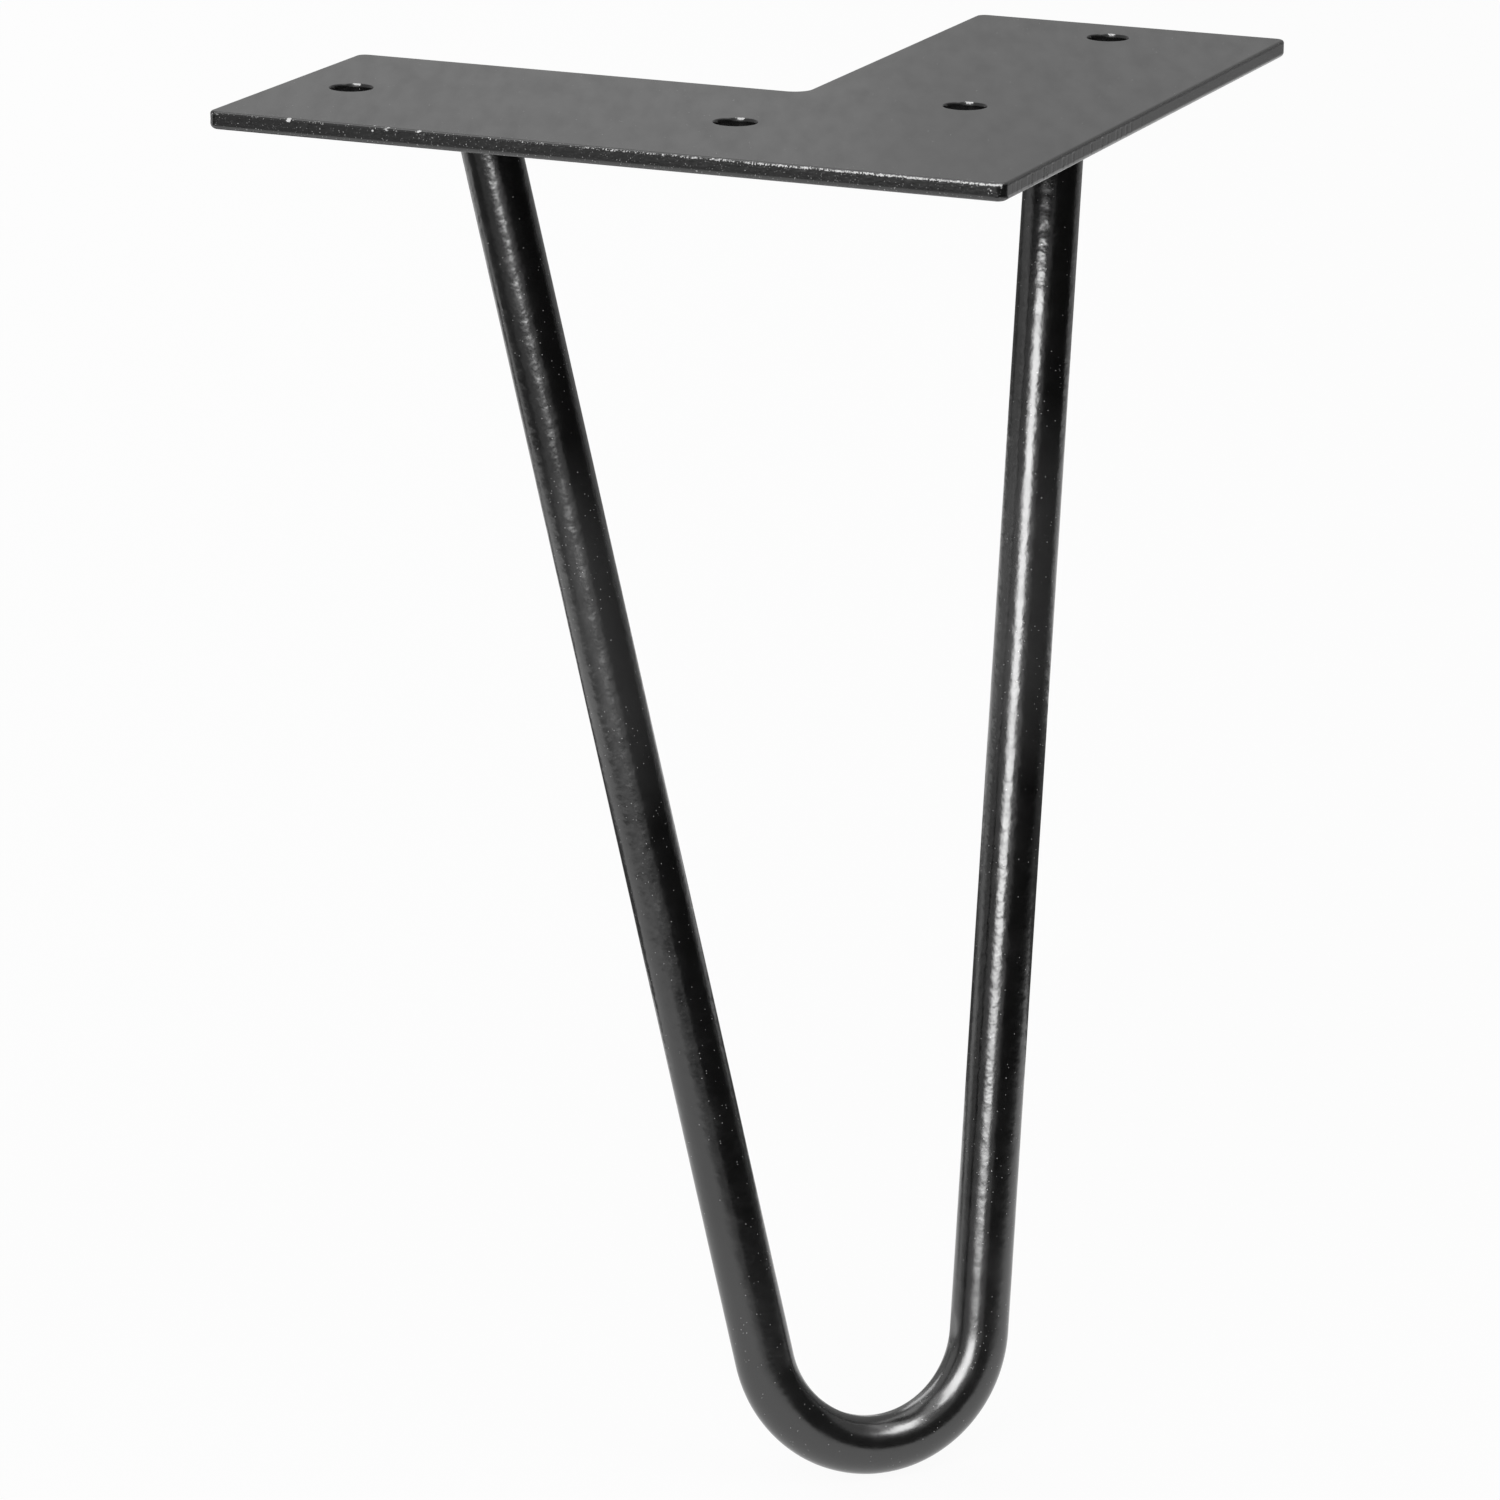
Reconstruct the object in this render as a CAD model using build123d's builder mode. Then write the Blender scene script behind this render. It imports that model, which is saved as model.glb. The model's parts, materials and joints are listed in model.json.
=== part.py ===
from build123d import *

import os
from math import asin, atan2, cos, hypot, sin

# Hairpin table leg: a round steel rod bent into a hairpin and welded under a flat L-shaped plate.
# Millimetres, +Z up. The origin lies on the plate's top face, which screws to the table, where the
# centrelines of the two arms cross. One arm runs along +X, the other along +Y, and the foot of the
# hairpin stands on the -Z axis.

# Driving dimensions of the whole leg
overall_height = 230.0
rod_end_reach = 73.5  # from the crossing of the arms to each rod end, along its arm

# Mounting plate, punched from sheet
plate_thickness = 3.0
arm_width = 57.0
arm_length = 138.5  # from the outer corner to the end of an arm
outer_corner_radius = 1.8
inner_corner_radius = 3.0
lower_edge_roll = 0.9  # rounding that the punch leaves on the lower edge
upper_edge_break = 0.5

# Screw holes, two on the centreline of each arm
hole_diameter = 7.0
hole_end_margin = 12.25  # from the end of an arm to the nearer hole
hole_spacing = 69.0

# Hairpin rod
rod_diameter = 10.0
bend_inside_radius = 15.0

# Weld run around each rod end
weld_leg = 3.5
weld_land = 0.5  # width of the run's blunt lower rim
weld_crown = 0.5  # how far the run bulges beyond a flat slope

# Places that follow from the sizes
rod_radius = rod_diameter / 2
hole_radius = hole_diameter / 2
arm_half_width = arm_width / 2
arm_tip = arm_length - arm_half_width
far_hole = arm_tip - hole_end_margin
near_hole = far_hole - hole_spacing
underside = Plane.XY.offset(-plate_thickness)

# The hairpin lies in one leaning plane, through both rod ends and the lowest point of the bend
bend_radius = bend_inside_radius + rod_radius
bend_bottom = Vector(0, 0, rod_radius - overall_height)
rod_ends = {
    "x_arm": Vector(rod_end_reach, 0, -plate_thickness),
    "y_arm": Vector(0, rod_end_reach, -plate_thickness),
}
between_ends = (rod_ends["x_arm"] + rod_ends["y_arm"]) / 2
across = rod_ends["x_arm"] - rod_ends["y_arm"]
up_the_lean = between_ends - bend_bottom
hairpin_plane = Plane(origin=bend_bottom, x_dir=across, z_dir=across.cross(up_the_lean))

# Straight runs are tangent to the bend and meet, drawn on, at an apex below the foot
half_span = across.length / 2
end_height = up_the_lean.length
height_over_centre = end_height - bend_radius
centre_distance = hypot(half_span, height_over_centre)
run_angle = atan2(half_span, height_over_centre) - asin(bend_radius / centre_distance)
apex_height = bend_radius - bend_radius / sin(run_angle)
apex = hairpin_plane.from_local_coords(Vector(0, apex_height, 0))

# The bar is bent longer than needed, then sawn off level with the plate's underside
saw_allowance = rod_diameter
bar_run = (end_height - apex_height) / cos(run_angle) + saw_allowance
bar_tip = (bar_run * sin(run_angle), apex_height + bar_run * cos(run_angle))

with BuildPart() as mounting_plate:
    with BuildSketch(underside) as plate_outline:
        with Locations((-arm_half_width, -arm_half_width)):
            Rectangle(arm_length, arm_width, align=Align.MIN)
            Rectangle(arm_width, arm_length, align=Align.MIN)
        corners = plate_outline.vertices()
        inner_corner = corners.sort_by_distance((arm_half_width, arm_half_width, 0))[0]
        fillet(corners - [inner_corner], outer_corner_radius)
        fillet(inner_corner, inner_corner_radius)
    extrude(amount=plate_thickness)
    lower_edges = mounting_plate.faces().sort_by(Axis.Z)[0].outer_wire().edges()
    fillet(lower_edges, lower_edge_roll)
    upper_edges = mounting_plate.faces().sort_by(Axis.Z)[-1].outer_wire().edges()
    fillet(upper_edges, upper_edge_break)
    with Locations((near_hole, 0), (far_hole, 0), (0, near_hole), (0, far_hole)):
        Hole(hole_radius)

with BuildPart() as hairpin_rod:
    with BuildLine(hairpin_plane) as centreline:
        FilletPolyline((-bar_tip[0], bar_tip[1]), (0, apex_height), bar_tip, radius=bend_radius)
    with BuildSketch(Plane(centreline.line ^ 0)):
        Circle(rod_radius)
    sweep()
    split(bisect_by=underside, keep=Keep.BOTTOM)

weld_beads = {}
for arm, rod_end in rod_ends.items():
    run = (apex - rod_end).normalized()
    slope = 1 / abs(run.Z)  # length along the rod for each millimetre of depth
    with BuildPart() as weld_bead:
        for depth, overhang in (
            (0, weld_leg),
            (weld_leg / 2, weld_leg / 2 + weld_crown),
            (weld_leg, weld_land),
        ):
            section = Plane(origin=rod_end + run * slope * depth, x_dir=(run.X, run.Y, 0), z_dir=(0, 0, 1))
            with BuildSketch(section):
                Ellipse(rod_radius * slope + overhang, rod_radius + overhang)
        loft(ruled=True)
        add(hairpin_rod.part, mode=Mode.SUBTRACT)
    weld_beads[arm] = weld_bead

os.makedirs("parts", exist_ok=True)
mounting_plate.part.label = "mounting_plate"
export_step(mounting_plate.part, "parts/mounting_plate.step")
hairpin_rod.part.label = "hairpin_rod"
export_step(hairpin_rod.part, "parts/hairpin_rod.step")
for arm, weld_bead in weld_beads.items():
    weld_bead.part.label = f"{arm}_weld_bead"
    export_step(weld_bead.part, f"parts/{arm}_weld_bead.step")
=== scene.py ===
"""Looks of the hairpin table leg: a black-coated plate, bent rod and two weld runs. Metres, +Z up."""
import json
from math import asin, atan2, ceil, cos, hypot, pi, radians, sin, sqrt

import bmesh
import bpy
from mathutils import Matrix, Vector, geometry, noise


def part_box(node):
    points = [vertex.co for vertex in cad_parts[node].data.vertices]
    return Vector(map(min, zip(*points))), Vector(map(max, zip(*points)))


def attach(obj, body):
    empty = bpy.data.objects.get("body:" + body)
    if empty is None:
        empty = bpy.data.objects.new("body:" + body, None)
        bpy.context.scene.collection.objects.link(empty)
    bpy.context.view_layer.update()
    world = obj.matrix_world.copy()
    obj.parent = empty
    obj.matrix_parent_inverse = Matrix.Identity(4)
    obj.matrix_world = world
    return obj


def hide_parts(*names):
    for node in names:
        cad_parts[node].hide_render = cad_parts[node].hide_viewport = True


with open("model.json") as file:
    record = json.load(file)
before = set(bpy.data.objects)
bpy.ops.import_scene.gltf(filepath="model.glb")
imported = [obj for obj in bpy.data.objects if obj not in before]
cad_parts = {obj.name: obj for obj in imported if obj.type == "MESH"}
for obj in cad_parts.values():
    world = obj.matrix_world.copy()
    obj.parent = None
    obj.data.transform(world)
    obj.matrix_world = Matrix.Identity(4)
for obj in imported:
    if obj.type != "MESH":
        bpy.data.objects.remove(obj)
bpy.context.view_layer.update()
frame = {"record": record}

MM = 0.001

# Sizes read from the frame
plate_low, plate_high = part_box("mounting_plate")
rod_low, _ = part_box("hairpin_rod")
mounts = {mount["name"]: mount for mount in frame["record"]["mounts"]}
ARM_TIP = plate_high.x
ARM_HALF_WIDTH = -plate_low.x
UNDERSIDE = plate_low.z
FLOOR_LEVEL = rod_low.z
LEG_MIDDLE = Vector((0, 0, FLOOR_LEVEL / 2))
HOLE_RADIUS = mounts["x_arm_screws"]["dims"]["hole_r_mm"] * MM
HOLE_SPACING = mounts["x_arm_screws"]["dims"]["spacing_x_mm"] * MM

# Plate edge: a soft roll below, an upright face and a narrow break at the top
OUTER_CORNER_RADIUS = 1.8 * MM
INNER_CORNER_RADIUS = 3.0 * MM
LOWER_EDGE_ROLL = 0.9 * MM
UPPER_EDGE_BREAK = 0.5 * MM
EDGE_STEP = 0.3 * MM  # between points along the outline
FACE_STEP = 0.12 * MM  # between points up the upright face
ROLL_STEPS = 6
BREAK_STEPS = 5
TOP_RINGS = (1.5 * UPPER_EDGE_BREAK, 2.5 * UPPER_EDGE_BREAK)  # insets of flat rings around the top face
SIDE_LIMIT = 0.7  # share of the outward direction from which a place counts as part of one side

# Screw holes: the walls flare at the top, and one side of each rim carries a painted glint in the
# bare-metal grey
HOLE_SIDES = 96
HOLE_FLARE_RADIUS = 1.2 * MM
HOLE_FLARE_TURN = radians(35)
HOLE_FLARE_STEPS = 9
RIM_GLINT_ANGLE = radians(10)  # from X, the middle of the painted glint
RIM_GLINT_HALF_ANGLE = radians(22)
RIM_GLINT_DEPTH = 0.7 * MM
HOLE_RING = 0.15 * MM  # width of the flat ring that keeps this painted glint off the plate's top

# Torn metal on the sheared edge, between two heights, and how softly it starts and ends
TORN_BAND = (-2.1 * MM, -0.5 * MM)
TORN_FADE = (0.6 * MM, 0.3 * MM)
TORN_DEPTH = 0.15 * MM
STREAK_WIDTH = 1.1 * MM
STREAK_STRETCH = 0.15  # share of the height that counts in a streak's noise, which draws it upright
STREAK_SHARE = 0.6  # of the depth, and crumbs have the rest
CRUMB_SIZE = 0.4 * MM

# Grooves that the shear left on the right side of the plate
GROOVE_BAND = (-2.4 * MM, -0.5 * MM)
GROOVE_BAND_FADE = (0.4 * MM, 0.2 * MM)
GROOVE_SPACING = 2.3 * MM
GROOVE_STRAY = 0.45  # share of the spacing by which a groove is out of place
GROOVE_HALF_WIDTH = 0.45 * MM
GROOVE_WIDTH_SPREAD = 0.8
GROOVE_DEPTH = 0.14 * MM
GROOVE_ONSET = (-0.35, 0.45)  # draws at which a groove is missing and at which it is deepest
GROOVE_FADE = (25.2 * MM, 42.0 * MM)  # along X, where the grooves start to fade and where they end

# Chips in the coat along the front edge: place along Y, height, half length, half height and strength
FRONT_CHIPS = (
    (95.1 * MM, -0.40 * MM, 0.32 * MM, 0.26 * MM, 1.0),
    (80.1 * MM, -0.75 * MM, 0.15 * MM, 0.35 * MM, 0.75),
    (77.6 * MM, -0.40 * MM, 0.70 * MM, 0.18 * MM, 0.55),
    (71.9 * MM, -0.20 * MM, 0.42 * MM, 0.18 * MM, 0.9),
    (15.0 * MM, -0.12 * MM, 0.30 * MM, 0.16 * MM, 0.75),
    (-7.8 * MM, -0.18 * MM, 0.70 * MM, 0.16 * MM, 0.6),
    (-26.1 * MM, -1.20 * MM, 0.80 * MM, 1.00 * MM, 0.44),
)
CHIP_FADE = (0.4, 1.6)  # in half sizes from a chip's middle, where it starts to fade and where it ends
CHIP_DEPTH = 0.08 * MM

# Wear of the front edge, as how thin the coat is. Along the top edge it also paints a highlight, most near
# the outer corner
FRONT_SPECKLE = 0.335  # all over the front, which leaves specks
LEAST_WEAR_AND_HIGHLIGHT = 0.38  # on the front's top edge, far from the outer corner
MOST_WEAR_AND_HIGHLIGHT = 0.61  # on the front's top edge, near the outer corner
WEAR_AND_HIGHLIGHT_REACH = (-20.0 * MM, 70.0 * MM)  # along Y, where the wear and painted highlight are most and where they are least
WORN_AND_HIGHLIGHT_LINE = -0.32 * MM  # height of the worn line with its painted highlight
WORN_AND_HIGHLIGHT_LINE_FADE = (0.10 * MM, 0.36 * MM)  # from that height, where the wear and painted highlight start to fade and where they end
WEAR_AND_HIGHLIGHT_WAVES = ((5.0 * MM, 0.06, 7.0), (1.4 * MM, 0.10, 3.0))  # length, strength and seed of its unevenness

# Hairpin rod
ROD_RADIUS = 5.0 * MM
BEND_RADIUS = 20.0 * MM  # at the rod's centre
ROD_END_REACH = 73.5 * MM
RING_STEP = 0.6 * MM
RING_SIDES = 72
SAW_CLEARANCE = 2.5 * MM  # the sawn ends are slanted, so the last square ring stays this far from them
ROD_UNEVENNESS = 0.02 * MM
UNEVENNESS_SIZE = 7.0 * MM
FORMER_FLAT = 0.10 * MM  # depth of the flat that the bending former leaves inside the bend
FORMER_REACH = 0.9  # share of the bend along which this flat has its full depth
TOOL_MARK_PLACE = 28.0 * MM  # along the rod from its lowest point, on the X arm's side
TOOL_MARK_HALF_LENGTH = 3.4 * MM
TOOL_MARK_DEPTH = 0.28 * MM

# Weld runs
WELD_LEG = 3.4 * MM
WELD_LEG_MEAN = 0.96  # share of the leg that the run has, on the whole
WELD_LEG_SPREAD = 0.06
WELD_LEG_WAVE = 0.7  # size of the waves in the leg, in rod radii
WELD_CROWN = 0.4 * MM
WELD_OVERLAP = 0.3 * MM  # how far the run reaches into the rod
WELD_RIPPLES = 26
RIPPLE_DEPTH = 0.18 * MM
RIPPLE_SWEEP = 1.2  # bow of a ripple across the run: its ends trail by a quarter of this, in ripples
RIPPLE_STRAY = 0.2  # how far a ripple is out of place, in ripples
RIPPLE_WAVE = 0.5  # size of the waves in their places, in rod radii
WELD_ROUND_STEPS = 260
WELD_PROFILE_STEPS = 14

# Coat, with grey levels from 0 to 1
COAT_INDEX = 1.8  # refractive index
DARKEST_COAT = 0.0004
MOTTLE_SIZE = 3.5 * MM
GLOSS_PATCH = 4.0 * MM  # size of the patches of more and less gloss
GLOSS_RANGE = (0.3, 0.7)  # noise at which a patch has the most and the least gloss
WIPE_ANGLE = radians(22)  # from X, the way the plate's coat was wiped
FLAKE_SIZE = 0.28 * MM
FLAKE_DETAIL = 3.0
FLAKE_EDGE = (0.98, 1.12)  # thinness of the coat, with the painted glints, plus noise at which the bare-metal grey starts to show and is full
# grey of bare metal, which also paints the glints in the holes and the highlight on the front's top edge
BARE_AND_GLINT_GREY = 0.75
DULL_ROUGHNESS = 0.6  # of dust, bare metal and the painted glints
CALM_FOOT = (-200.0 * MM, -150.0 * MM)  # heights between which the orange peel grows from weak to full
CALM_STRENGTH = 0.35  # of the weak orange peel

# Dust: specks that gather in patches. A pale veil lightens the rod half way up, and near its foot the veil
# is painted light bounced from the floor
DUST_GREY = 0.70
DUST_SPACING = 0.70 * MM
DUST_RADIUS = 0.075 * MM
DUST_PATCH = 12.0 * MM
DUST_PATCH_EDGE = (0.42, 0.66)  # noise at which a patch starts and at which it is full
DUST_SCARCITY = 0.12  # share of the specks that is left between the patches
VEIL_MIDDLE = -86.0 * MM
VEIL_HALF_HEIGHT = 32.0 * MM
VEIL_CORE = 0.4  # share of the half height along which the veil has its full strength
PAINTED_BOUNCE_HEIGHTS = (-197.0 * MM, -182.0 * MM)  # heights at which the painted bounce light near the foot is strongest and at which it ends
PAINTED_BOUNCE_STRENGTH = 0.25

# Camera, where the photograph was taken from
CAMERA_PLACE = Vector((-0.98314, -0.38401, 0.20772))
CAMERA_TARGET = Vector((0.02626, 0.03606, -0.11382))
CAMERA_ROLL = radians(0.547)
CAMERA_LENS = 160.48

# Studio light, as radiance where white is 1
ROOM_LIGHT = 0.40
FLOOR_GREY = 0.85
FLOOR_GLOW = 0.94  # share of plain white in the floor as it is seen, and lit paper is the rest

# Directions of the lamps: angle from the camera's side and rise, in degrees
KEY = (-25, 34)
TOP = (52, 60)
SIDE = (-95, 30)
BACK = (-146, 26)
CEILING = (180, 85)

# Lamps: direction, distance, width, height and radiance.
# The soft boxes light the leg, and the coat does not mirror them.
SOFT_BOXES = {
    "key_box": (*KEY, 1.5, 0.95, 1.42, 2.0),
    "top_box": (*TOP, 1.5, 0.55, 0.66, 2.0),
    "side_box": (*SIDE, 2.0, 1.60, 1.60, 0.4),
    "back_box": (*BACK, 2.0, 1.20, 0.90, 2.6),
}

# What the coat mirrors of the boxes and the ceiling: bright lines on the round rod and its welds.
# No two lamps lie in one plane, where they would hide one another.
ROD_SHINES = {
    "key_shine": (*KEY, 1.47, 0.93, 1.39, 4.7),
    "key_core": (-22.5, 22.6, 1.44, 0.57, 0.70, 5.8),
    "key_head": (-25, 47, 1.44, 0.85, 0.62, 5.0),
    "top_shine": (*TOP, 1.47, 0.54, 0.65, 9.0),
    "side_shine": (*SIDE, 1.97, 1.58, 1.58, 0.4),
    "back_shine": (*BACK, 1.97, 1.18, 0.89, 2.6),
    "ceiling_shine": (*CEILING, 1.50, 1.80, 1.80, 1.2),
}

# A weaker sheen on the flat plate, which would turn white in the rod's shines
PLATE_SHEENS = {
    "key_sheen": (*KEY, 1.53, 0.97, 1.45, 0.8),
    "top_sheen": (*TOP, 1.53, 0.56, 0.67, 1.5),
    "back_sheen": (-172, 18, 1.90, 0.50, 0.80, 0.08),
    "ceiling_sheen": (*CEILING, 1.53, 1.84, 1.84, 1.2),
}

# Flags that stand around the leg: from and to an angle from the camera's side, top's height, grey level
FLAG_DISTANCE = 1.5
FLAGS = {
    "right_flag": (14, 112, 0.55, 0.05),
    "back_right_flag": (112, 150, 0.45, 0.48),
}

# Dark cloths on the floor: back, front, left and right edge as the camera sees them, and grey level
FAR = 4.0  # from the leg to the edges of the floor
CLOTH_GAP = 0.2 * MM  # over the floor
DARK_CLOTHS = {
    "back_cloth": (-0.45, -0.20, -0.15, 0.40, 0.14),
    "rim_cloth": (-0.40, -0.10, -0.27, -0.15, 0.14),
    "back_rim_cloth": (-0.42, -0.27, -0.36, -0.27, 0.14),
    "back_left_cloth": (-0.45, -0.28, -0.60, -0.40, 0.14),
    "far_cloth": (-FAR, -0.80, -FAR, 0.40, 0.14),
    "far_right_cloth": (-FAR, -0.64, 0.40, FAR, 0.72),
    "side_cloth": (-0.20, 0.10, -FAR, -0.56, 0.14),
    "left_cloth": (0.10, 0.45, -FAR, -0.44, 0.14),
    "front_left_cloth": (0.45, FAR, -FAR, -0.44, 0.45),
    "front_cloth": (0.42, FAR, -0.30, FAR, 0.10),
    "right_cloth": (-0.45, 0.42, 0.40, FAR, 0.14),
}


def smooth(value, low, high):
    """0 at low, 1 at high, with a soft start and end."""
    share = min(max((value - low) / (high - low), 0.0), 1.0)
    return share * share * (3.0 - 2.0 * share)


def within(height, band, fade):
    """1 inside a band of heights, 0 outside, with soft ends."""
    low, high = band
    return smooth(height, low, low + fade[0]) * (1.0 - smooth(height, high - fade[1], high))


def grain(size, *place):
    """Noise between about -1 and 1 whose lumps are as large as size."""
    filled = (tuple(place) + (0.0, 0.0))[:3]
    return noise.noise(Vector(filled) / size)


def draw(number, pace, seed=0.0):
    """A value between about -1 and 1 that belongs to a number. Pace and seed keep several draws apart."""
    return grain(1.0, number * pace, seed)


def node(tree, kind, inputs=None, **settings):
    """Adds a node, with each input either joined to a socket or set to a value."""
    made = tree.nodes.new(kind)
    for name, value in settings.items():
        setattr(made, name, value)
    for key, value in (inputs or {}).items():
        if isinstance(value, bpy.types.NodeSocket):
            tree.links.new(value, made.inputs[key])
        else:
            made.inputs[key].default_value = value
    return made


def calculate(tree, operation, *values):
    """The result of a sum or another operation on sockets and numbers."""
    return node(tree, "ShaderNodeMath", dict(enumerate(values)), operation=operation).outputs[0]


def span(tree, value, low, high, to_low=0.0, to_high=1.0):
    """Maps low..high to another range, and holds the ends."""
    inputs = {"Value": value, "From Min": low, "From Max": high, "To Min": to_low, "To Max": to_high}
    return node(tree, "ShaderNodeMapRange", inputs, clamp=True).outputs["Result"]


def blend_colours(tree, share, first, second):
    """The first colour where share is 0, the second where it is 1."""
    return node(tree, "ShaderNodeMix", {0: share, 6: first, 7: second}, data_type="RGBA").outputs[2]


def lumps(tree, place, size, detail=2.0):
    """Noise from 0 to 1 with lumps of the given size."""
    inputs = {"Vector": place, "Scale": 1.0 / size, "Detail": detail}
    return node(tree, "ShaderNodeTexNoise", inputs).outputs["Fac"]


def grey(level):
    """A neutral colour."""
    return (level, level, level, 1.0)


def dust_specks(tree, place, share):
    """1 inside tiny specks that gather in patches, 0 elsewhere."""
    cells = node(tree, "ShaderNodeTexVoronoi", {"Vector": place, "Scale": 1.0 / DUST_SPACING})
    radius = DUST_RADIUS / DUST_SPACING
    near = span(tree, cells.outputs["Distance"], 0.5 * radius, radius, 1.0, 0.0)
    drawn = node(tree, "ShaderNodeSeparateColor", {"Color": cells.outputs["Color"]}).outputs[0]
    gathered = lumps(tree, place, DUST_PATCH)
    local_share = span(tree, gathered, *DUST_PATCH_EDGE, DUST_SCARCITY * share, share)
    return calculate(tree, "MULTIPLY", near, calculate(tree, "LESS_THAN", drawn, local_share))


def veil_and_painted_bounce(tree, height):
    """1 where the pale veil on the rod is strongest, 0 where there is none. Near the foot it is painted
    light bounced from the floor.
    """
    off_middle = calculate(tree, "ABSOLUTE", calculate(tree, "SUBTRACT", height, VEIL_MIDDLE))
    middle = span(tree, off_middle, VEIL_CORE * VEIL_HALF_HEIGHT, VEIL_HALF_HEIGHT, 1.0, 0.0)
    foot = span(tree, height, *PAINTED_BOUNCE_HEIGHTS, PAINTED_BOUNCE_STRENGTH, 0.0)
    return calculate(tree, "MAXIMUM", middle, foot)


def bare_and_glint_mask(tree, place):
    """1 where flakes are off the coat, most where it is thin, and where glints and a highlight are painted;
    0 elsewhere.
    """
    thin_coat_and_glint = node(tree, "ShaderNodeAttribute", attribute_name="bare_and_glint").outputs["Fac"]
    flakes = lumps(tree, place, FLAKE_SIZE, FLAKE_DETAIL)
    return span(tree, calculate(tree, "ADD", thin_coat_and_glint, flakes), *FLAKE_EDGE)


def coat_colour(tree, wiped, bloom, veil, dust, bare_and_glint):
    """Mottled black, under a pale veil and specks of dust, with the bare-metal grey where the coat is off
    and where glints and a highlight are painted.
    """
    coat = blend_colours(tree, lumps(tree, wiped, MOTTLE_SIZE), grey(DARKEST_COAT), grey(bloom))
    veiled = blend_colours(tree, veil, coat, grey(1.0))
    dusty = blend_colours(tree, dust, veiled, grey(DUST_GREY))
    return blend_colours(tree, bare_and_glint, dusty, grey(BARE_AND_GLINT_GREY))


def coat_roughness(tree, wiped, roughness, spread, dust, bare_and_glint):
    """Patches of more and less gloss, dull where there is dust, bare metal or a painted glint."""
    patches = lumps(tree, wiped, GLOSS_PATCH)
    satin = span(tree, patches, *GLOSS_RANGE, roughness - spread, roughness + spread)
    dull = calculate(tree, "MULTIPLY", calculate(tree, "MAXIMUM", dust, bare_and_glint), DULL_ROUGHNESS)
    return calculate(tree, "MAXIMUM", satin, dull)


def orange_peel(tree, place, height, peel_size, peel_height):
    """The coat's fine unevenness, which is weaker near the foot."""
    strength = span(tree, height, *CALM_FOOT, CALM_STRENGTH, 1.0)
    inputs = {"Height": lumps(tree, place, peel_size), "Distance": peel_height, "Strength": strength}
    return node(tree, "ShaderNodeBump", inputs).outputs["Normal"]


def black_coat(name, roughness, spread, peel_size, peel_height, specks, veil_strength=0.0, bloom=0.0016, wipe=1.0):
    """Satin black coat, whose roughness varies by spread.

    Specks is the share of places that hold a speck of dust, veil_strength the strength of the pale veil,
    which near the foot is painted bounce light, bloom the grey level of the lighter mottling, and wipe how
    far the mottling is drawn out in one direction.
    """
    material = bpy.data.materials.new(name)
    material.use_nodes = True
    tree = material.node_tree
    shader = tree.nodes["Principled BSDF"]
    place = node(tree, "ShaderNodeTexCoord").outputs["Object"]
    streaks = {"Vector": place, "Rotation": (0, 0, WIPE_ANGLE), "Scale": (wipe, 1, 1)}
    wiped = node(tree, "ShaderNodeMapping", streaks, vector_type="TEXTURE").outputs[0]
    height = node(tree, "ShaderNodeSeparateXYZ", {"Vector": place}).outputs["Z"]
    dust = dust_specks(tree, place, specks)
    veil = calculate(tree, "MULTIPLY", veil_and_painted_bounce(tree, height), veil_strength)
    bare_and_glint = bare_and_glint_mask(tree, place)
    surface = {
        "Base Color": coat_colour(tree, wiped, bloom, veil, dust, bare_and_glint),
        "Roughness": coat_roughness(tree, wiped, roughness, spread, dust, bare_and_glint),
        "Normal": orange_peel(tree, place, height, peel_size, peel_height),
    }
    for socket, value in surface.items():
        tree.links.new(value, shader.inputs[socket])
    shader.inputs["IOR"].default_value = COAT_INDEX
    return material


def add_mesh(name, points, faces, material, flat=(), bare_and_glint=None):
    """Makes an object of a closed mesh. Faces numbered in flat are shaded flat, the others smooth."""
    mesh = bpy.data.meshes.new(name)
    mesh.from_pydata(points, [], faces)
    flat = set(flat)
    mesh.polygons.foreach_set("use_smooth", [number not in flat for number in range(len(faces))])
    shell = bmesh.new()
    shell.from_mesh(mesh)
    bmesh.ops.recalc_face_normals(shell, faces=shell.faces)
    shell.to_mesh(mesh)
    shell.free()
    if bare_and_glint:
        mesh.attributes.new("bare_and_glint", "FLOAT", "POINT").data.foreach_set("value", bare_and_glint)
    mesh.materials.append(material)
    piece = bpy.data.objects.new(name, mesh)
    bpy.context.scene.collection.objects.link(piece)
    return piece


def tube_faces(first, rings, sides, closed=False):
    """Quads between rings of points that follow one another from the point numbered first."""
    faces = []
    for ring in range(rings if closed else rings - 1):
        near = first + ring * sides
        far = first + (ring + 1) % rings * sides
        for side in range(sides):
            after = (side + 1) % sides
            faces.append((near + side, near + after, far + after, far + side))
    return faces


def add_run(outline, start, end, out):
    """Adds the points of a straight stretch to an outline, without its two ends."""
    steps = ceil((end - start).length / EDGE_STEP)
    for step in range(1, steps):
        outline.append((start.lerp(end, step / steps), out))


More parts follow.
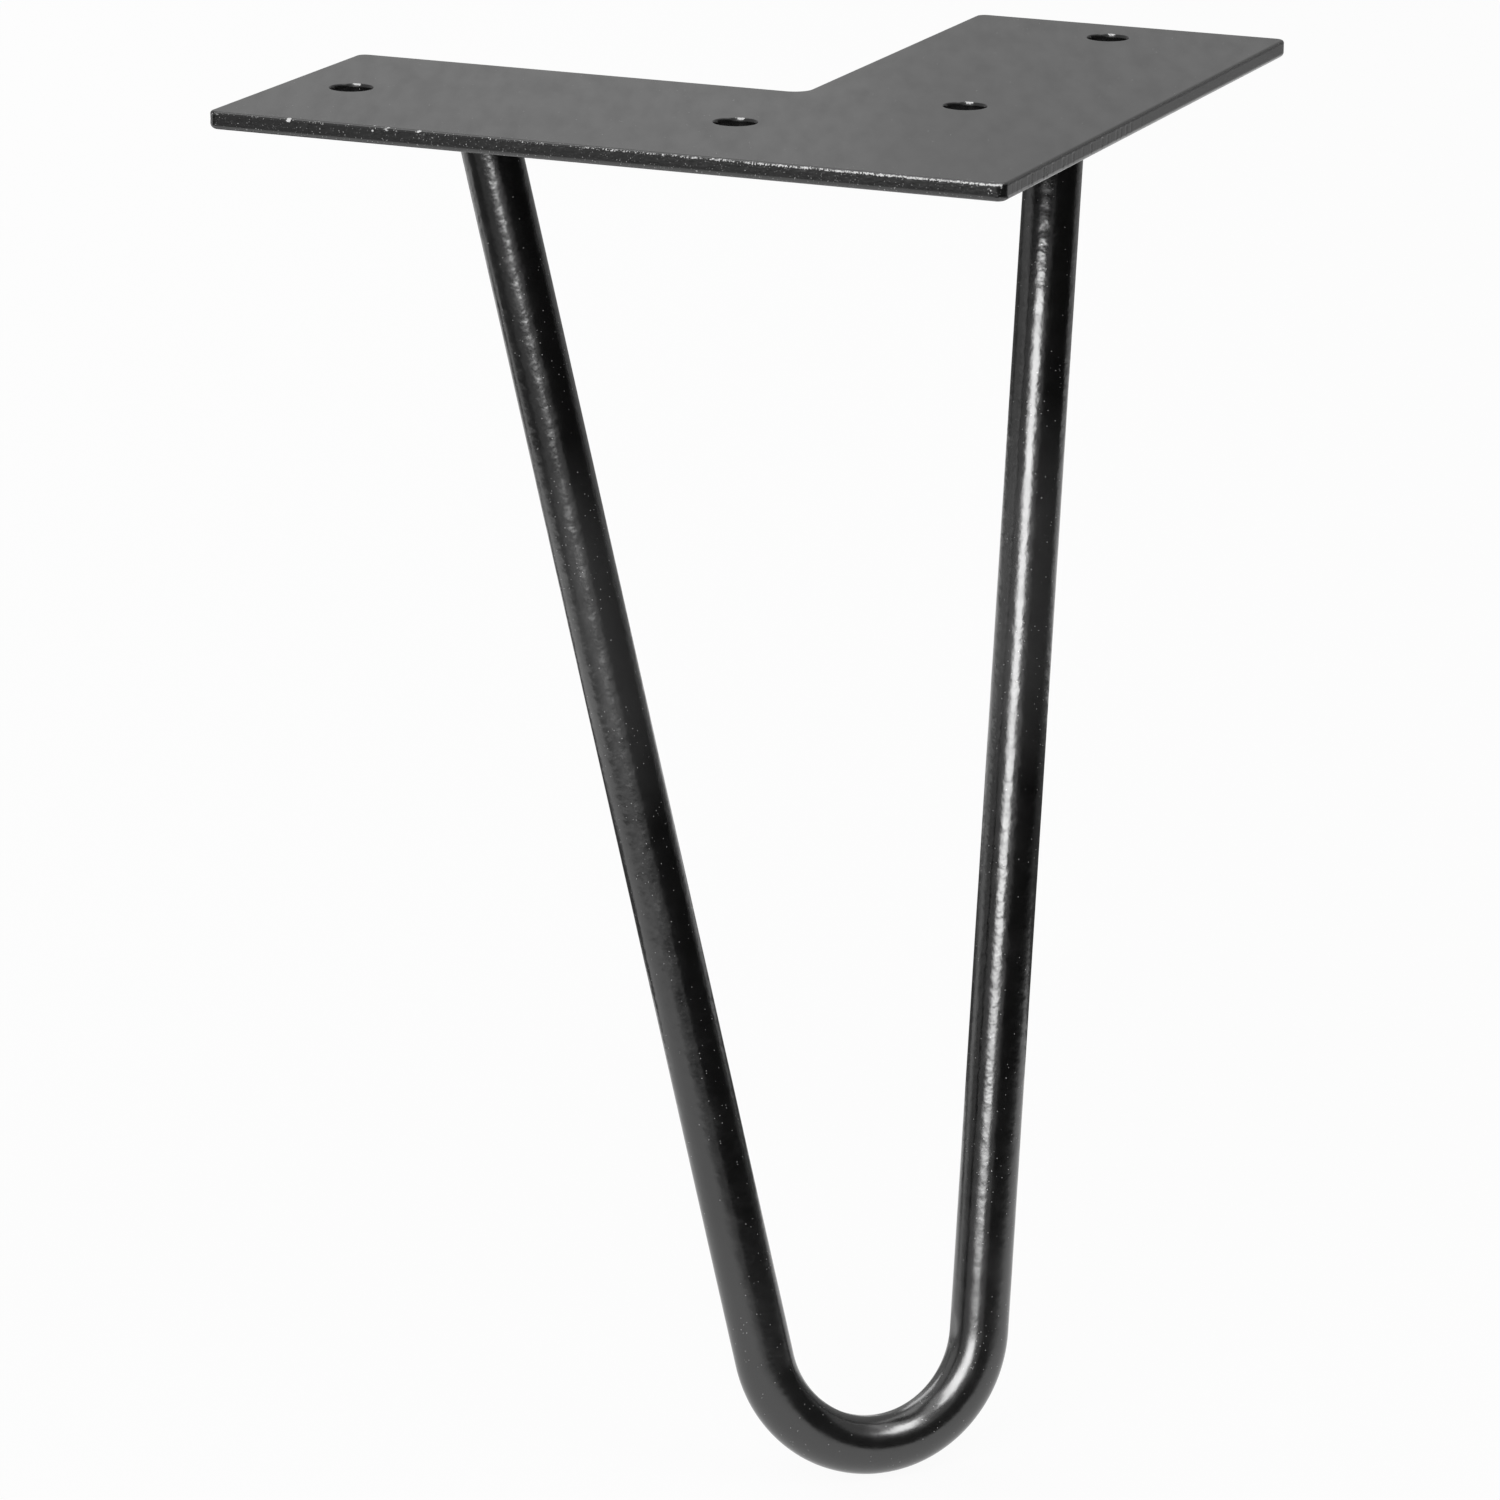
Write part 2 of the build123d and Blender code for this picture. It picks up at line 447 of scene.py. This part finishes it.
def plate_outline():
    """The plate's outline as places and outward directions, anticlockwise seen from above."""
    low, mid, tip = -ARM_HALF_WIDTH, ARM_HALF_WIDTH, ARM_TIP
    inner_corner = (mid, mid)
    corners = ((low, low), (tip, low), (tip, mid), inner_corner, (mid, tip), (low, tip))
    outline = []
    for number, xy in enumerate(corners):
        corner = Vector(xy)
        before = (corner - Vector(corners[number - 1])).normalized()
        after = (Vector(corners[(number + 1) % len(corners)]) - corner).normalized()
        hollow = xy == inner_corner
        radius = INNER_CORNER_RADIUS if hollow else OUTER_CORNER_RADIUS
        start = corner - before * radius
        centre = start + after * radius
        out_before = Vector((before.y, -before.x))
        out_after = Vector((after.y, -after.x))
        if outline:
            add_run(outline, outline[-1][0], start, out_before)
        steps = ceil(radius * pi / 2 / EDGE_STEP)
        for step in range(steps + 1):
            turn = step / steps * pi / 2
            out = out_before * cos(turn) + out_after * sin(turn)
            outline.append((centre + out * (-radius if hollow else radius), out))
    add_run(outline, outline[-1][0], outline[0][0], outline[-1][1])
    return outline


def edge_profile():
    """The plate's edge from its underside up to its top face, as insets and heights."""
    profile = []
    for step in range(ROLL_STEPS + 1):
        turn = step / ROLL_STEPS * pi / 2
        profile.append((LOWER_EDGE_ROLL * (1 - sin(turn)), UNDERSIDE + LOWER_EDGE_ROLL * (1 - cos(turn))))
    face_low = UNDERSIDE + LOWER_EDGE_ROLL
    face_rise = -UPPER_EDGE_BREAK - face_low
    face_steps = ceil(face_rise / FACE_STEP)
    for step in range(1, face_steps + 1):
        profile.append((0.0, face_low + face_rise * step / face_steps))
    for step in range(1, BREAK_STEPS + 1):
        turn = step / BREAK_STEPS * pi / 2
        profile.append((UPPER_EDGE_BREAK * (1 - cos(turn)), UPPER_EDGE_BREAK * (sin(turn) - 1)))
    for inset in TOP_RINGS:
        profile.append((inset, 0.0))
    return profile


def shear_groove(along, height):
    """Depth of the grooves that the shear left on the right side, uneven in place, width and depth."""
    number = round(along / GROOVE_SPACING)
    middle = GROOVE_SPACING * (number + GROOVE_STRAY * draw(number, pace=3.7))
    half_width = GROOVE_HALF_WIDTH * (1.0 + GROOVE_WIDTH_SPREAD * draw(number, pace=2.3, seed=9.0))
    strength = smooth(draw(number, pace=1.9, seed=5.0), *GROOVE_ONSET)
    strength *= 1.0 - smooth(along, *GROOVE_FADE)
    across = 1.0 - smooth(abs(along - middle), 0.0, half_width)
    return GROOVE_DEPTH * within(height, GROOVE_BAND, GROOVE_BAND_FADE) * strength * across


def torn_metal(place, out, height):
    """How deep the sheared edge is torn or grooved at a place."""
    if out.y < -SIDE_LIMIT:
        return shear_groove(place.x, height)
    streaks = max(grain(STREAK_WIDTH, place.x, place.y, height * STREAK_STRETCH), 0.0)
    crumbs = max(grain(CRUMB_SIZE, place.x, place.y, height), 0.0)
    roughness = STREAK_SHARE * streaks + (1.0 - STREAK_SHARE) * crumbs
    return TORN_DEPTH * within(height, TORN_BAND, TORN_FADE) * roughness


def chipped_coat(place, out, inset, height):
    """How far the coat is off at a place on the plate's edge: 1 in the middle of a chip."""
    bare_and_glint = 0.0
    if out.x < -SIDE_LIMIT:
        for chip_y, chip_height, half_length, half_height, strength in FRONT_CHIPS:
            away = hypot((place.y - chip_y) / half_length, (height - inset - chip_height) / half_height)
            bare_and_glint = max(bare_and_glint, strength * (1.0 - smooth(away, *CHIP_FADE)))
    return bare_and_glint


def wear_and_painted_highlight(place, out, height):
    """How thin the coat is worn at a place on the plate's edge, with a painted highlight: most at the top
    of the front.
    """
    if out.x > -SIDE_LIMIT:
        return 0.0
    wear_and_highlight = MOST_WEAR_AND_HIGHLIGHT + (LEAST_WEAR_AND_HIGHLIGHT - MOST_WEAR_AND_HIGHLIGHT) * smooth(place.y, *WEAR_AND_HIGHLIGHT_REACH)
    wear_and_highlight += sum(strength * grain(length, place.y, seed) for length, strength, seed in WEAR_AND_HIGHLIGHT_WAVES)
    on_top_edge = 1.0 - smooth(abs(height - WORN_AND_HIGHLIGHT_LINE), *WORN_AND_HIGHLIGHT_LINE_FADE)
    return max(FRONT_SPECKLE, wear_and_highlight * on_top_edge)


def painted_rim_glint(turn, height):
    """Painted glint in a hole, drawn in the bare-metal grey: 1 at the rim where it is brightest."""
    off_angle = abs((turn - RIM_GLINT_ANGLE + pi) % (2 * pi) - pi)
    return (1.0 - smooth(off_angle, 0.0, RIM_GLINT_HALF_ANGLE)) * smooth(height, -RIM_GLINT_DEPTH, 0.0)


def flat_fill(loops, points):
    """Triangles of a flat face, from its outer loop of point numbers and those of its holes."""
    numbers = [number for loop in loops for number in loop]
    edges = []
    first = 0
    for loop in loops:
        edges += [(first + step, first + (step + 1) % len(loop)) for step in range(len(loop))]
        first += len(loop)
    places = [Vector(points[number][:2]) for number in numbers]
    inside_only, nearness = 1, 1e-8
    filled = geometry.delaunay_2d_cdt(places, edges, [], inside_only, nearness)
    origin = [numbers[sources[0]] for sources in filled[3]]
    triangles = [tuple(origin[corner] for corner in face) for face in filled[2]]
    holes = [set(loop) for loop in loops[1:]]
    return [face for face in triangles if not any(hole.issuperset(face) for hole in holes)]


def hole_centres():
    """The middles of the four screw holes, from the middle of each arm's pair."""
    for arm in ("x_arm", "y_arm"):
        middle = Vector(mounts[arm + "_screws"]["pos_m"])
        along = middle.normalized() * HOLE_SPACING / 2
        yield middle - along
        yield middle + along


def hole_wall():
    """The wall of a screw hole from the underside up to its flared rim, as radii and heights."""
    wall = [(HOLE_RADIUS, UNDERSIDE), (HOLE_RADIUS, UNDERSIDE / 2)]
    for step in range(HOLE_FLARE_STEPS + 1):
        turn = step / HOLE_FLARE_STEPS * HOLE_FLARE_TURN
        flare = HOLE_FLARE_RADIUS * (1 - cos(turn))
        wall.append((HOLE_RADIUS + flare, HOLE_FLARE_RADIUS * (sin(turn) - sin(HOLE_FLARE_TURN))))
    return wall


def make_plate(material):
    """The plate: its worn edge all around, the walls of its holes and the flat faces between them."""
    outline, profile = plate_outline(), edge_profile()
    points, bare_and_glint, faces = [], [], []
    for inset, height in profile:
        outermost = inset < LOWER_EDGE_ROLL / 2
        for place, out in outline:
            chipped = chipped_coat(place, out, inset, height)
            dent = torn_metal(place, out, height) + CHIP_DEPTH * chipped
            on_edge = place - out * (inset + (dent if outermost else 0.0))
            points.append((on_edge.x, on_edge.y, height))
            bare_and_glint.append(max(chipped, wear_and_painted_highlight(place, out, height)))
    sides = len(outline)
    faces += tube_faces(0, len(profile), sides)
    lower_loops = [list(range(sides))]
    upper_loops = [list(range(len(points) - sides, len(points)))]

    wall = hole_wall()
    rim = wall[-1][0]
    wall.append((rim + HOLE_RING, 0.0))
    for centre in hole_centres():
        first = len(points)
        for radius, height in wall:
            for side in range(HOLE_SIDES):
                turn = side / HOLE_SIDES * 2 * pi
                points.append((centre.x + radius * cos(turn), centre.y + radius * sin(turn), height))
                bare_and_glint.append(painted_rim_glint(turn, height) if radius <= rim else 0.0)
        faces += tube_faces(first, len(wall), HOLE_SIDES)
        lower_loops.append(list(range(first, first + HOLE_SIDES)))
        upper_loops.append(list(range(len(points) - HOLE_SIDES, len(points))))

    flat_start = len(faces)
    faces += flat_fill(lower_loops, points) + flat_fill(upper_loops, points)
    return add_mesh("plate", points, faces, material, range(flat_start, len(faces)), bare_and_glint)


class Hairpin:
    """The hairpin's own plane: two straight runs, tangent to a bend, that end under the plate."""

    def __init__(self):
        self.bottom = Vector((0, 0, FLOOR_LEVEL + ROD_RADIUS))
        between_ends = Vector((ROD_END_REACH / 2, ROD_END_REACH / 2, UNDERSIDE))
        half_span = ROD_END_REACH / sqrt(2)
        self.across = Vector((1, -1, 0)).normalized()
        self.up = (between_ends - self.bottom).normalized()
        self.side = self.up.cross(self.across)
        over_centre = (between_ends - self.bottom).length - BEND_RADIUS
        centre_distance = hypot(half_span, over_centre)
        run_angle = atan2(half_span, over_centre) - asin(BEND_RADIUS / centre_distance)
        half_turn = pi / 2 - run_angle
        self.bend_length = BEND_RADIUS * half_turn
        self.half_length = self.bend_length + sqrt(centre_distance ** 2 - BEND_RADIUS ** 2)

    def at(self, along):
        """Centre of the rod, outward direction and heading at a length along it from its lowest point."""
        mirror = 1 if along >= 0 else -1
        turn = min(abs(along), self.bend_length) / BEND_RADIUS
        run = max(abs(along) - self.bend_length, 0.0)
        out = self.across * mirror * sin(turn) - self.up * cos(turn)
        heading = self.across * cos(turn) + self.up * mirror * sin(turn)
        centre = self.bottom + self.up * BEND_RADIUS + out * BEND_RADIUS + heading * mirror * run
        return centre, out, heading


def inner_flat(hairpin, along):
    """Depth of the flat inside the bend, from the bending former and one tool mark."""
    fade = smooth(abs(along), hairpin.bend_length * FORMER_REACH, hairpin.bend_length)
    off_mark = (along - TOOL_MARK_PLACE) / TOOL_MARK_HALF_LENGTH
    return max(FORMER_FLAT * (1 - fade), TOOL_MARK_DEPTH * (1 - off_mark * off_mark))


def make_rod(hairpin, material):
    """The bent rod: slightly uneven rings along the hairpin, sawn off level with the plate's underside."""
    steps = ceil(2 * hairpin.half_length / RING_STEP)
    points = []
    rings = 0
    for step in range(steps + 1):
        along = hairpin.half_length * (2 * step / steps - 1)
        sawn = step in (0, steps)
        if not sawn and abs(along) > hairpin.half_length - SAW_CLEARANCE:
            continue
        centre, out, heading = hairpin.at(along)
        flat_depth = inner_flat(hairpin, along)
        for side in range(RING_SIDES):
            turn = side / RING_SIDES * 2 * pi
            ray = out * cos(turn) + hairpin.side * sin(turn)
            radius = ROD_RADIUS
            if cos(turn) < 0:
                radius = min(radius, (ROD_RADIUS - flat_depth) / -cos(turn))
            point = centre + ray * radius
            point -= ray * ROD_UNEVENNESS * (0.5 + 0.5 * grain(UNEVENNESS_SIZE, *point))
            if sawn:
                point += heading * (UNDERSIDE - point.z) / heading.z
            points.append(tuple(point))
        rings += 1
    faces = tube_faces(0, rings, RING_SIDES)
    ends = [tuple(range(RING_SIDES)), tuple(range(len(points) - RING_SIDES, len(points)))]
    return add_mesh("rod", points, faces + ends, material, range(len(faces), len(faces) + 2))


def weld_section(turn, mirror):
    """A weld run's section at an angle around the rod, as depths under the plate and reach past the rod."""
    direction = (cos(turn), sin(turn))
    leg = WELD_LEG * (WELD_LEG_MEAN + WELD_LEG_SPREAD * grain(WELD_LEG_WAVE, *direction, mirror))
    stray = RIPPLE_STRAY * grain(RIPPLE_WAVE, *direction)
    section = []
    for rise in range(WELD_PROFILE_STEPS + 1):
        share = rise / WELD_PROFILE_STEPS
        ripples = turn / 2 / pi * WELD_RIPPLES - RIPPLE_SWEEP * (share - 0.5) ** 2 + stray
        dip = RIPPLE_DEPTH * (0.5 + 0.5 * cos(2 * pi * ripples)) * sin(pi * share)
        crown = 4 * WELD_CROWN * share * (1 - share)
        section.append((leg * share, leg * (1 - share) + crown - dip))
    section += [(leg, -WELD_OVERLAP), (0.0, -WELD_OVERLAP)]
    return section


def make_weld(hairpin, mirror, name, material):
    """A rippled run of weld around one end of the rod."""
    end, _, heading = hairpin.at(mirror * hairpin.half_length)
    run = heading * -mirror
    slope = 1 / abs(run.z)
    lean = Vector((run.x, run.y, 0)).normalized()
    beside = Vector((-lean.y, lean.x, 0))
    points = []
    for step in range(WELD_ROUND_STEPS):
        turn = step / WELD_ROUND_STEPS * 2 * pi
        for depth, overhang in weld_section(turn, mirror):
            place = end + run * slope * depth
            place += lean * (ROD_RADIUS * slope + overhang) * cos(turn)
            place += beside * (ROD_RADIUS + overhang) * sin(turn)
            points.append(tuple(place))
    sides = len(points) // WELD_ROUND_STEPS
    faces = tube_faces(0, WELD_ROUND_STEPS, sides, closed=True)
    return add_mesh(name, points, faces, material)


def add_camera():
    """The camera at the photograph's place, angle and roll."""
    data = bpy.data.cameras.new("camera")
    data.lens = CAMERA_LENS
    camera = bpy.data.objects.new("camera", data)
    back = (CAMERA_PLACE - CAMERA_TARGET).normalized()
    level = Vector((0, 0, 1)).cross(back).normalized()
    right = Matrix.Rotation(CAMERA_ROLL, 3, back) @ level
    up = back.cross(right)
    camera.matrix_world = Matrix.Translation(CAMERA_PLACE) @ Matrix((right, up, back)).transposed().to_4x4()
    bpy.context.scene.collection.objects.link(camera)
    bpy.context.scene.camera = camera


def around(front, right, height):
    """A place so far from the leg's axis toward the camera, and so far to the camera's right."""
    to_camera = Vector((CAMERA_PLACE.x, CAMERA_PLACE.y, 0)).normalized()
    to_right = Vector((-to_camera.y, to_camera.x, 0))
    return to_camera * front + to_right * right + Vector((0, 0, height))


def toward(angle, rise, distance):
    """A place seen from the leg's middle at an angle from the camera's side and a rise, in degrees."""
    level = distance * cos(radians(rise))
    height = LEG_MIDDLE.z + distance * sin(radians(rise))
    return around(level * cos(radians(angle)), level * sin(radians(angle)), height)


def add_lamp(name, angle, rise, distance, width, height, radiance):
    """A rectangular lamp that faces the leg's middle and stays out of the picture."""
    place = toward(angle, rise, distance)
    data = bpy.data.lights.new(name, "AREA")
    data.shape = "RECTANGLE"
    data.size, data.size_y = width, height
    data.energy = radiance * pi * width * height
    lamp = bpy.data.objects.new(name, data)
    facing = (LEG_MIDDLE - place).to_track_quat("-Z", "Y")
    lamp.matrix_world = Matrix.Translation(place) @ facing.to_matrix().to_4x4()
    lamp.visible_camera = False
    bpy.context.scene.collection.objects.link(lamp)
    return lamp


def add_shines(lamps, pieces):
    """Lamps that light nothing and are mirrored by these pieces alone."""
    receivers = bpy.data.collections.new("receivers")
    for piece in pieces:
        receivers.objects.link(piece)
    for name, lamp in lamps.items():
        shine = add_lamp(name, *lamp)
        shine.visible_diffuse = False
        shine.light_linking.receiver_collection = receivers


def add_panel(name, corners, material):
    """A flat panel that belongs to the studio."""
    mesh = bpy.data.meshes.new(name)
    mesh.from_pydata([tuple(corner) for corner in corners], [], [(0, 1, 2, 3)])
    mesh.materials.append(material)
    panel = bpy.data.objects.new(name, mesh)
    bpy.context.scene.collection.objects.link(panel)
    return panel


def dark_cloth(name, level):
    """Matt cloth of one grey level."""
    material = bpy.data.materials.new(name)
    material.use_nodes = True
    shader = material.node_tree.nodes["Principled BSDF"]
    shader.inputs["Base Color"].default_value = grey(level)
    shader.inputs["Roughness"].default_value = 1.0
    shader.inputs["Specular IOR Level"].default_value = 0.0
    return material


def add_flag(name, corners, level):
    """A panel of cloth that only darkens what the coat mirrors."""
    flag = add_panel(name, corners, dark_cloth(name, level))
    flag.visible_camera = False
    flag.visible_diffuse = False
    flag.visible_shadow = False


def floor_material():
    """Pale floor that looks near white and still takes the leg's shadow."""
    material = bpy.data.materials.new("pale_floor")
    material.use_nodes = True
    tree = material.node_tree
    tree.nodes.remove(tree.nodes["Principled BSDF"])
    path = node(tree, "ShaderNodeLightPath").outputs
    seen = calculate(tree, "MAXIMUM", path["Is Camera Ray"], path["Is Glossy Ray"])
    seen = calculate(tree, "MAXIMUM", seen, path["Is Transmission Ray"])
    paper = node(tree, "ShaderNodeBsdfDiffuse", {"Color": grey(FLOOR_GREY)}).outputs[0]
    glow = node(tree, "ShaderNodeEmission", {"Color": grey(1.0), "Strength": 1.0}).outputs[0]
    share = calculate(tree, "MULTIPLY", seen, FLOOR_GLOW)
    mixed = node(tree, "ShaderNodeMixShader", {0: share, 1: paper, 2: glow}).outputs[0]
    tree.links.new(mixed, tree.nodes["Material Output"].inputs["Surface"])
    return material


def add_room():
    """Even light from all around, and the floor."""
    world = bpy.data.worlds.new("room")
    world.use_nodes = True
    background = world.node_tree.nodes["Background"]
    background.inputs["Color"].default_value = grey(1.0)
    background.inputs["Strength"].default_value = ROOM_LIGHT
    bpy.context.scene.world = world
    square = ((-FAR, -FAR), (FAR, -FAR), (FAR, FAR), (-FAR, FAR))
    add_panel("floor", [(x, y, FLOOR_LEVEL) for x, y in square], floor_material())


def add_flags():
    """Flags that stand around the leg, and dark cloths that lie on the floor."""
    for name, (left, right, top, level) in FLAGS.items():
        near = (FLAG_DISTANCE * cos(radians(left)), FLAG_DISTANCE * sin(radians(left)))
        far = (FLAG_DISTANCE * cos(radians(right)), FLAG_DISTANCE * sin(radians(right)))
        corners = (*near, FLOOR_LEVEL), (*far, FLOOR_LEVEL), (*far, top), (*near, top)
        add_flag(name, [around(*corner) for corner in corners], level)
    for name, (back, front, left, right, level) in DARK_CLOTHS.items():
        square = ((back, left), (back, right), (front, right), (front, left))
        add_flag(name, [around(*corner, FLOOR_LEVEL + CLOTH_GAP) for corner in square], level)


def add_studio(plate, rod_and_welds):
    """The room, its lamps and what darkens their reflections."""
    add_room()
    for name, box in SOFT_BOXES.items():
        add_lamp(name, *box).visible_glossy = False
    add_shines(ROD_SHINES, rod_and_welds)
    add_shines(PLATE_SHEENS, [plate])
    add_flags()


add_camera()
bpy.context.scene.view_settings.view_transform = "Standard"

hairpin = Hairpin()
plate_coat = black_coat(
    "plate_coat", roughness=0.21, spread=0.04, peel_size=1.2 * MM, peel_height=0.0015 * MM,
    specks=0.12, bloom=0.008, wipe=4.0,
)
rod_coat = black_coat(
    "rod_coat", roughness=0.215, spread=0.04, peel_size=2.0 * MM, peel_height=0.10 * MM,
    specks=0.9, veil_strength=0.028,
)
weld_coat = black_coat(
    "weld_coat", roughness=0.33, spread=0.02, peel_size=0.9 * MM, peel_height=0.020 * MM,
    specks=0.2,
)
stands_for = {
    "mounting_plate": make_plate(plate_coat),
    "hairpin_rod": make_rod(hairpin, rod_coat),
    "x_arm_weld_bead": make_weld(hairpin, 1, "x_arm_weld", weld_coat),
    "y_arm_weld_bead": make_weld(hairpin, -1, "y_arm_weld", weld_coat),
}
for cad_node, piece in stands_for.items():
    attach(piece, "root")
    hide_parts(cad_node)
plate, *rod_and_welds = stands_for.values()
add_studio(plate, rod_and_welds)
